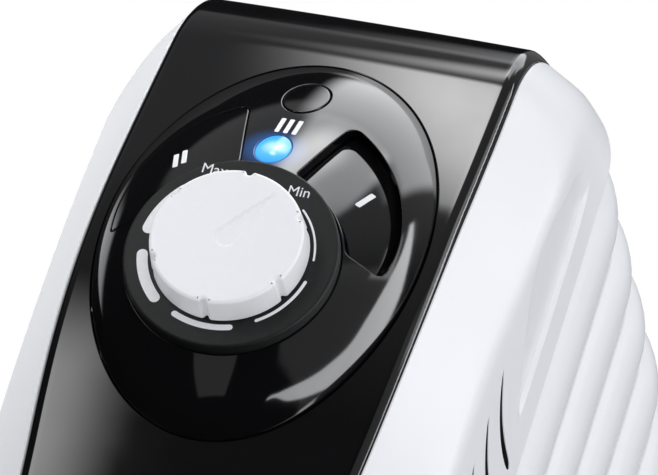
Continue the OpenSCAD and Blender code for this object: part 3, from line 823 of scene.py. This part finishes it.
def dial_where(uv):
    x, z = uv.T
    return np.c_[x, np.full(len(x), DIAL_Y - 0.05), z]


def polar(r, degrees):
    """X and Z on the dial, clockwise from the top."""
    a = math.radians(degrees)
    return np.array([r * math.sin(a), DIAL_Z + r * math.cos(a)])


def scale_arc(start, end, r_in, thick):
    """Printed arc with round ends, clockwise from the top."""
    n = 28
    mid = r_in + thick / 2
    cap = math.degrees(thick / 2 / mid)
    outer = [polar(r_in + thick, a) for a in np.linspace(start + cap, end - cap, n)]
    inner = [polar(r_in, a) for a in np.linspace(end - cap, start + cap, n)]
    ends = []
    for at, sign in ((end - cap, 1), (start + cap, -1)):
        c = polar(mid, at)
        out = polar(mid + 1, at) - c
        round_way = np.array([out[1], -out[0]]) * sign
        turns = np.linspace(0, math.pi, 8)[1:-1]
        first = out if sign > 0 else -out
        ends.append([c + (first * math.cos(t) + round_way * math.sin(t)) * thick / 2 for t in turns])
    return np.array(outer + ends[0] + inner + ends[1])


# Scale arcs: first and last angle, thickness; and the depth of printed pieces
ARC_R = 27.0
INK_D = 0.04
ARCS = [(43, 86, 0.7), (102, 148, 1.1), (163, 207, 2.1), (220, 262, 3.6), (274, 318, 4.2)]
for i, (start, end, thick) in enumerate(ARCS):
    new_sheet(f"scale_arc_{i + 1}", INK, "heater", None, "knob_white",
              [scale_arc(start, end, ARC_R, thick)], dial_where, 1.2, 0.0, INK_D, BACK)


def bar_loop(cx, cz, width, length, lean):
    """Rounded printed bar, leaning clockwise from upright."""
    a = math.radians(lean)
    up, side = np.array([math.sin(a), math.cos(a)]), np.array([math.cos(a), -math.sin(a)])
    r = 0.45
    points = []
    for sx, sz, start in ((1, 1, 0), (-1, 1, 90), (-1, -1, 180), (1, -1, 270)):
        c = np.array([cx, cz]) + side * sx * (width / 2 - r) + up * sz * (length / 2 - r)
        for t in np.radians(np.linspace(start, start + 90, 5)):
            points.append(c + r * (side * math.cos(t) + up * math.sin(t)))
    return np.array(points)


# Printed bars: name, body, (x, z, width, length, lean), depth of the face
MARKS = [
    ("mark_three_a", "heater", (-2.2, 118.9, 1.55, 8.0, 0), 0.0),
    ("mark_three_b", "heater", (0.7, 118.9, 1.55, 8.0, 0), 0.0),
    ("mark_three_c", "heater", (3.6, 118.9, 1.55, 8.0, 0), 0.0),
    ("mark_two_a", "button_2", (-30.9, 97.0, 1.8, 7.4, -16), 0.0),
    ("mark_two_b", "button_2", (-28.4, 98.8, 1.8, 7.4, -16), 0.0),
    ("mark_one", "button_1", (32.4, 97.3, 1.8, 8.4, 20), TRAVEL)]
for name, body, bar, deeper in MARKS:
    new_sheet(name, INK, body, None, "knob_white",
              [bar_loop(*bar)], dome_where(deeper - 0.05), 1.2, 0.0, INK_D, BACK)


WORD_SIZE = 5.2


def word_mesh(name, text, degrees, radius):
    """Dial lettering, laid flat on the dial plate."""
    curve = bpy.data.curves.new(name, "FONT")
    curve.body = text
    curve.size = WORD_SIZE
    curve.align_x = "CENTER"
    curve.align_y = "CENTER"
    curve.extrude = 0.02
    temporary = bpy.data.objects.new(name, curve)
    bpy.context.scene.collection.objects.link(temporary)
    bpy.context.view_layer.update()
    mesh = bpy.data.meshes.new_from_object(temporary.evaluated_get(bpy.context.evaluated_depsgraph_get()))
    bpy.data.objects.remove(temporary)
    bpy.data.curves.remove(curve)
    x, z = polar(radius, degrees)
    flat = np.array([v.co for v in mesh.vertices])
    placed = to_frame(np.c_[x + flat[:, 0], DIAL_Y - INK_D - flat[:, 2], z + flat[:, 1]])
    mesh.vertices.foreach_set("co", placed.ravel())
    mesh.update()
    return mesh


for name, text, degrees, radius in (("word_min", "Min", 31, 30.5), ("word_max", "Max", 335, 32.2)):
    new_object(name, word_mesh(name, text, degrees, radius), INK, "heater")

# ---------- fins ----------

FIN_HALF_D = (box_mm("fin_1")[1][1] - box_mm("fin_1")[0][1]) / 2 - 3
LOWER_Z = middle_z("lower_header_plug") - REF_Z
UPPER_Z = middle_z("oil_filler_plug") - REF_Z
SHEET = 0.9
FINS = 8
# Half the fins' spacing, and the rim's start above the foot
HALF_PITCH = 18.0
RIM_START = 25.0
# Oil channels: where the uprights stand, half widths at the foot, height and side slope
UPRIGHTS = (-48, -16, 16, 48)
UPRIGHT_HALF, HEADER_HALF = 10.5, 11
CHANNEL_H, CHANNEL_SLOPE = 4.2, 4.5


def fin_path():
    """Outline of a fin's rim from its lower right end over the top to its lower left end, with normals."""
    low = FIN_BOTTOM + RIM_START
    corner = FIN_TOP - CORNER_R
    path, out = [], []
    for z in np.linspace(low, corner, 40)[:-1]:
        path.append((BODY_HALF, z))
        out.append((1, 0))
    for a in np.linspace(0, math.pi / 2, 17):
        path.append((BODY_HALF - CORNER_R + CORNER_R * math.cos(a), corner + CORNER_R * math.sin(a)))
        out.append((math.cos(a), math.sin(a)))
    for x in np.linspace(BODY_HALF - CORNER_R, 0, 8)[1:]:
        path.append((x, FIN_TOP))
        out.append((0, 1))
    path, out = np.array(path), np.array(out)
    mirror = np.array([-1, 1])
    return np.concatenate([path, path[:-1][::-1] * mirror]), np.concatenate([out, out[:-1][::-1] * mirror])


def fin_section():
    """Closed section of the rim as (y, height over the outline): a crowned band with rolled edges."""
    half, roll, crown = FIN_HALF_D, 1.6, 2.2
    flat = half - roll
    outer = [(-half + 0.3, -7.0), (-half, -crown - roll - 0.6)]
    outer += [(-flat - roll * math.cos(a), -crown - roll + roll * math.sin(a)) for a in np.radians([0, 22, 44])]
    outer += [(y, 1.2 - (crown + 1.2) * abs(y / flat) ** 2.5) for y in np.linspace(-flat, flat, 17)]
    outer += [(-y, h) for y, h in outer[4::-1]]
    centre_line = np.array(outer)
    step = np.gradient(centre_line, axis=0)
    normal = unit(np.c_[-step[:, 1], step[:, 0]])
    return np.concatenate([centre_line, (centre_line - normal * SHEET)[::-1]])


def rim_mesh(points, faces):
    """The rolled band round a fin."""
    path, out = fin_path()
    section = fin_section()
    n, m = len(path), len(section)
    base = len(points)
    for (x, z), (ox, oz) in zip(path, out):
        points += [(x + ox * h, y, z + oz * h) for y, h in section]
    for i in range(n - 1):
        a, b = base + i * m, base + (i + 1) * m
        faces += [(a + j, a + (j + 1) % m, b + (j + 1) % m, b + j) for j in range(m)]
    half = m // 2
    for at, flip in ((base, True), (base + (n - 1) * m, False)):
        for j in range(half - 1):
            quad = (at + j, at + j + 1, at + m - 2 - j, at + m - 1 - j)
            faces.append(quad if not flip else quad[::-1])


def channel_height(x, z):
    """Height of the pressed oil channels over the sheet: four uprights and two headers."""
    def ridge(d, half):
        return np.clip((half - np.abs(d)) / CHANNEL_SLOPE, 0, 1)
    uprights = np.max([ridge(x - c, UPRIGHT_HALF) for c in UPRIGHTS], axis=0)
    uprights = np.minimum(uprights, ridge(z - (LOWER_Z + UPPER_Z) / 2, (UPPER_Z - LOWER_Z) / 2 + 10))
    headers = np.max([ridge(z - c, HEADER_HALF) for c in (LOWER_Z, UPPER_Z)], axis=0)
    headers = np.minimum(headers, ridge(x, 60))
    return CHANNEL_H * smooth(np.maximum(uprights, headers))


def plate_mesh(points, faces):
    """The two pressed sheets inside the rim, as one closed body."""
    half = BODY_HALF - SHEET
    xs = np.linspace(-half, half, 73)
    zs = np.linspace(FIN_BOTTOM, FIN_TOP - SHEET, 141)
    base = len(points)
    corner = FIN_TOP - CORNER_R
    for side in (-1, 1):
        for z in zs:
            over = max(z - corner, 0)
            limit = BODY_HALF - CORNER_R + math.sqrt(max((CORNER_R - SHEET) ** 2 - over**2, 0))
            for x in xs:
                px = x * min(limit, half) / half
                points.append((px, side * (0.6 + float(channel_height(px, z))), z))
    w, h = len(xs), len(zs)
    other = base + w * h
    for r in range(h - 1):
        for c in range(w - 1):
            a = r * w + c
            faces.append((base + a, base + a + 1, base + a + w + 1, base + a + w))
            faces.append((other + a + w, other + a + w + 1, other + a + 1, other + a))
    for r in range(h - 1):
        a, b = r * w, (r + 1) * w
        faces.append((base + b, other + b, other + a, base + a))
        a, b = a + w - 1, b + w - 1
        faces.append((base + a, other + a, other + b, base + b))
    for c in range(w - 1):
        faces.append((base + c, other + c, other + c + 1, base + c + 1))
        a = (h - 1) * w + c
        faces.append((base + a + 1, other + a + 1, other + a, base + a))


def collar_mesh(points, faces, back):
    """Header collars, with a weld bead where they meet the next fin's."""
    segments = 56
    front = -HALF_PITCH
    rings = [(13.5, front), (15.0, front), (15.0, front + 0.8), (15.5, front + 1.6), (15.0, front + 2.4),
             (15.0, -7), (17.5, -4.6), (17.5, 4.6), (15.0, 7), (15.0, back), (13.5, back)]
    for z in (LOWER_Z, UPPER_Z):
        base = len(points)
        for r, y in rings:
            points += [(r * math.cos(a), y, z + r * math.sin(a))
                       for a in np.arange(segments) * 2 * math.pi / segments]
        m = len(rings)
        for k in range(m):
            a, b = base + k * segments, base + ((k + 1) % m) * segments
            faces += [(a + i, b + i, b + (i + 1) % segments, a + (i + 1) % segments) for i in range(segments)]


def fin_mesh(name, y, back):
    points, faces = [], []
    rim_mesh(points, faces)
    plate_mesh(points, faces)
    collar_mesh(points, faces, back)
    points = np.array(points) + [0, y, 0]
    return mesh_from(name, points, faces)


for n in range(1, FINS + 1):
    middle = box_mm(f"fin_{n}")[0][1] + HALF_PITCH - PANEL_Y
    new_object(f"fin_skin_{n}", fin_mesh(f"fin_skin_{n}", middle, 8.0 if n == FINS else HALF_PITCH),
               FIN, "heater", [f"fin_{n}"])

# ---------- CAD pieces that stay ----------


def soften(node, material, width):
    o = NODES[node]
    o.data.materials.clear()
    o.data.materials.append(material)
    weld = o.modifiers.new("weld", "WELD")
    weld.merge_threshold = 0.00001
    bevel = o.modifiers.new("edges", "BEVEL")
    bevel.width = width * MM
    bevel.segments = 2
    bevel.limit_method = "ANGLE"
    bevel.angle_limit = math.radians(35)
    bevel.harden_normals = True
    for polygon in o.data.polygons:
        polygon.use_smooth = True


KEPT = {
    ZINC: ["thermostat_shaft", "control_bracket", "heat_shield", "thermal_cutout", "stand_offs",
           "element_flange", "flange_bolts", "handle_screws", "u_bolt_front", "u_bolt_rear", "wing_nuts"]
          + [f"castor_axle_{n}" for n in range(1, 5)],
    INNER: ["thermostat_body", "power_switch_1", "power_switch_2", "pilot_lamp"],
    SHELL: ["base_cover", "rear_cover"],
    FOOT: ["cord_gland", "carry_handle", "foot_bar_front", "foot_bar_rear"]
          + [f"castor_fork_{n}" for n in range(1, 5)],
    CERAMIC: ["terminal_block"],
    ELEMENT: ["heating_element_1", "heating_element_2"],
    BRASS: ["top_header_plug", "lower_header_plug", "oil_filler_plug"],
    RUBBER: [f"castor_wheel_{n}" for n in range(1, 5)],
}
for material, names in KEPT.items():
    for name in names:
        soften(name, material, 0.3 if material in (ZINC, BRASS, INNER) else 0.8)

# ---------- camera, light and floor ----------

SENSOR = 36
VIEW_W = 0.212258               # width of the view at the target
DISTANCE = 6.0
LOOK = Vector((0.2545, -0.8429, -0.4741)).normalized()
LEAN = math.radians(17.6)

target = Vector(to_frame([[22.5, 0, 85.2]])[0])
camera_data = bpy.data.cameras.new("camera")
camera_data.sensor_width = SENSOR
camera_data.lens = SENSOR * DISTANCE / VIEW_W
camera_data.clip_start, camera_data.clip_end = 1, 60
camera = bpy.data.objects.new("camera", camera_data)
bpy.context.scene.collection.objects.link(camera)
camera.location = target + LOOK * DISTANCE
turn = (-LOOK).to_track_quat("-Z", "Y").to_matrix().to_4x4()
roll = Matrix.Rotation(LEAN, 4, "Z")
camera.rotation_euler = (turn @ roll).to_euler()
bpy.context.scene.camera = camera


def softbox(name, at, size, radiance, aim, soft=(0.0, 0.0), mirrored_only=False):
    """Area light of a given radiance; soft is the share of its half sizes over which it fades out."""
    light = bpy.data.lights.new(name, "AREA")
    light.shape = "RECTANGLE"
    light.size, light.size_y = size
    light.energy = radiance * size[0] * size[1] * 4
    if any(soft):
        light.use_nodes = True
        tree = light.node_tree
        emission = tree.nodes["Emission"]
        axes = add_node(tree, "SeparateXYZ", Vector=add_node(tree, "NewGeometry").outputs["Parametric"])
        shares = []
        for i in range(2):
            off = math_node(tree, "ABSOLUTE", math_node(tree, "SUBTRACT", axes.outputs[i], 0.5))
            shares.append(fade_node(tree, off, 0.5, 0.5 * (1 - max(soft[i], 0.001))))
        tree.links.new(math_node(tree, "MULTIPLY", *shares), emission.inputs["Strength"])
    o = bpy.data.objects.new(name, light)
    bpy.context.scene.collection.objects.link(o)
    o.location = at
    o.rotation_euler = (Vector(aim) - Vector(at)).to_track_quat("-Z", "Y").to_euler()
    o.visible_camera = False
    o.visible_diffuse = not mirrored_only
    o.visible_glossy = mirrored_only
    return o


def math_node(tree, operation, *values):
    node = add_node(tree, "Math")
    node.operation = operation
    for i, value in enumerate(values):
        fill(tree, node.inputs[i], value)
    return node.outputs[0]


def mixed(tree, share, first, second):
    """The first shader where the share is 0 and the second where it is 1."""
    node = add_node(tree, "MixShader", Fac=share)
    tree.links.new(first.outputs[0], node.inputs[1])
    tree.links.new(second.outputs[0], node.inputs[2])
    return node


def fade_node(tree, value, zero, one):
    """Smooth step of a value from 0 to 1 between two limits."""
    node = add_node(tree, "MapRange", Value=value, From_Min=zero, From_Max=one)
    node.interpolation_type = "SMOOTHSTEP"
    return node.outputs["Result"]


CENTRE = (0, 0, 0.45)
softbox("key", (0.3, -2.0, 2.0), (1.4, 1.4), 0.75, CENTRE)
softbox("fill_right", (2.2, -0.3, 1.0), (1.4, 1.4), 1.0, CENTRE)
softbox("top_left", (-0.22, -0.22, 0.85), (0.2, 0.2), 5.0, (-0.06, -0.15, 0.6))


def card(name, at, tilt, reach, size, radiance, soft):
    """Small soft light that the panel mirrors at one place: at is that place, in millimetres."""
    normal = Vector((0, -math.cos(tilt), math.sin(tilt)))
    ray = 2 * normal.dot(LOOK) * normal - LOOK
    place = Vector(to_frame([at])[0])
    return softbox(name, place + ray * reach, size, radiance, place, soft, True)


card("gleam_right", (72, 24, 153), LEAN_BACK, 0.6, (0.24, 0.11), 8.5, (0.9, 1.0))
card("gleam_top", (98, 30, 173), LEAN_BACK + 0.14, 0.6, (0.2, 0.3), 4.0, (1.0, 0.9))
card("gleam_left", (-130, 0, -110), 0.03, 0.6, (0.2, 0.5), 4.8, (0.48, 0.8))

# What glossy pieces mirror: azimuth and elevation limits in degrees, edge widths and radiance
MIRRORED = [
    ((46, 98), (-33, 38), (3, 6), 0.42),
    ((84, 99), (29, 47), (2, 3), 2.0),
    ((-26, 8), (-56, -36), (1, 1), 0.45),
    ((-172, -120), (-4, 32), (6, 8), 0.9)]
# Tall softbox on the right with curved sides, as (elevation, azimuth)
STRIP_INNER = [(-47, 62), (-41, 68.4), (-23, 84.2), (-11, 91), (0, 95.3), (13, 96.6), (28, 98.4),
               (40, 101.2), (52, 104)]
STRIP_OUTER = [(-49, 62.5), (-37.5, 82.6), (-20.6, 96.9), (-5.4, 104.4), (8.3, 108.6), (24, 109.5),
               (35, 108), (52, 107)]
STRIP_RADIANCE = 7.2

world = bpy.data.worlds.new("studio")
bpy.context.scene.world = world
world.use_nodes = True
tree = world.node_tree
shade = tree.nodes["Background"]
shade.inputs["Color"].default_value = (0.95, 0.96, 1.0, 1)
axes = add_node(tree, "SeparateXYZ", Vector=add_node(tree, "TexCoord").outputs["Generated"])
east, north, height = axes.outputs
azimuth = math_node(tree, "ARCTAN2", east, math_node(tree, "MULTIPLY", north, -1.0))
elevation = math_node(tree, "ARCSINE", height)
total = None


def window(value, low, high, edge):
    return math_node(tree, "MULTIPLY", fade_node(tree, value, low - edge / 2, low + edge / 2),
                     fade_node(tree, value, high + edge / 2, high - edge / 2))


def add_light(total, part, radiance):
    part = math_node(tree, "MULTIPLY", part, radiance)
    return part if total is None else math_node(tree, "ADD", total, part)


for (az0, az1), (el0, el1), edge, radiance in MIRRORED:
    across = window(azimuth, *np.radians([az0, az1]).tolist(), math.radians(edge[0]))
    up = window(elevation, *np.radians([el0, el1]).tolist(), math.radians(edge[1]))
    total = add_light(total, math_node(tree, "MULTIPLY", across, up), radiance)


def side_node(points):
    """Azimuth of a softbox's curved side at each elevation."""
    node = add_node(tree, "FloatCurve")
    curve = node.mapping.curves[0]
    spots = [(el / 180 + 0.5, az / 180) for el, az in points]
    curve.points[0].location = (0, spots[0][1])
    curve.points[1].location = (1, spots[-1][1])
    for spot in spots:
        curve.points.new(*spot)
    node.mapping.update()
    share = math_node(tree, "ADD", math_node(tree, "DIVIDE", elevation, math.pi), 0.5)
    tree.links.new(share, node.inputs["Value"])
    return math_node(tree, "MULTIPLY", node.outputs[0], math.pi)


inner = fade_node(tree, math_node(tree, "SUBTRACT", azimuth, side_node(STRIP_INNER)), -0.012, 0.012)
outer = fade_node(tree, math_node(tree, "SUBTRACT", azimuth, side_node(STRIP_OUTER)), 0.012, -0.012)
ends = window(elevation, math.radians(-48), math.radians(50), math.radians(2))
strip = math_node(tree, "MULTIPLY", ends, math_node(tree, "MULTIPLY", inner, outer))
total = add_light(total, strip, STRIP_RADIANCE)

# Overhead softboxes, laid out on a plane at unit height: x and y limits, edge widths and radiance
OVERHEAD = [
    (-0.235, 0.52, 0.06, 0.5, 0.1, 3.0),
    (-0.2, 0.27, -0.3, 0.06, 0.08, 3.4),
    (0.2, 0.44, -0.1, 0.06, 0.08, 1.1)]
above = math_node(tree, "MAXIMUM", height, 0.02)
plane_x = math_node(tree, "DIVIDE", east, above)
plane_y = math_node(tree, "DIVIDE", north, above)
for x0, x1, y0, y1, edge, radiance in OVERHEAD:
    part = math_node(tree, "MULTIPLY", window(plane_x, x0, x1, edge), window(plane_y, y0, y1, edge))
    total = add_light(total, part, radiance)

# Dim room around them, brighter overhead but not over the panel's top band
lit = math_node(tree, "MAXIMUM", fade_node(tree, plane_y, 0.2, 0.13), fade_node(tree, plane_x, -0.24, -0.1))
room = math_node(tree, "MULTIPLY", fade_node(tree, height, 0.3, 0.95), lit)
room = math_node(tree, "MULTIPLY", room, 0.34)
total = add_light(total, math_node(tree, "ADD", room, 0.008), 1.0)
# Diffuse light is even, but weaker from low on the left
dark_left = math_node(tree, "MULTIPLY", fade_node(tree, east, 0.1, -0.8), fade_node(tree, height, 0.7, 0.0))
strength = math_node(tree, "SUBTRACT", 0.84, math_node(tree, "MULTIPLY", dark_left, 0.6))
tree.links.new(strength, shade.inputs["Strength"])
glossy = add_node(tree, "Background", Color=(0.97, 0.98, 1.0, 1), Strength=total)
backdrop = add_node(tree, "Background", Color=(1, 1, 1, 1), Strength=1.0)
# Diffuse rays see the even light, glossy rays the softboxes, and the camera a white backdrop
path = add_node(tree, "LightPath")
studio = mixed(tree, path.outputs["Is Glossy Ray"], shade, glossy)
studio = mixed(tree, path.outputs["Is Camera Ray"], studio, backdrop)
tree.links.new(studio.outputs[0], tree.nodes["World Output"].inputs["Surface"])

# Pale floor, see-through from below, where the camera is
bpy.ops.mesh.primitive_plane_add(size=9, location=(0, 0, -0.0005))
floor = bpy.context.object
floor.name = "floor"
pale, pale_tree, pale_shader = base_material("floor_pale", (0.86, 0.86, 0.86), 0.6)
see_through = add_node(pale_tree, "BsdfTransparent")
sides = add_node(pale_tree, "NewGeometry")
one_sided = mixed(pale_tree, sides.outputs["Backfacing"], pale_shader, see_through)
pale_tree.links.new(one_sided.outputs[0], pale_tree.nodes["Material Output"].inputs["Surface"])
floor.data.materials.append(pale)
floor.visible_glossy = False

view = bpy.context.scene.view_settings
view.view_transform = "Standard"
view.look = "None"
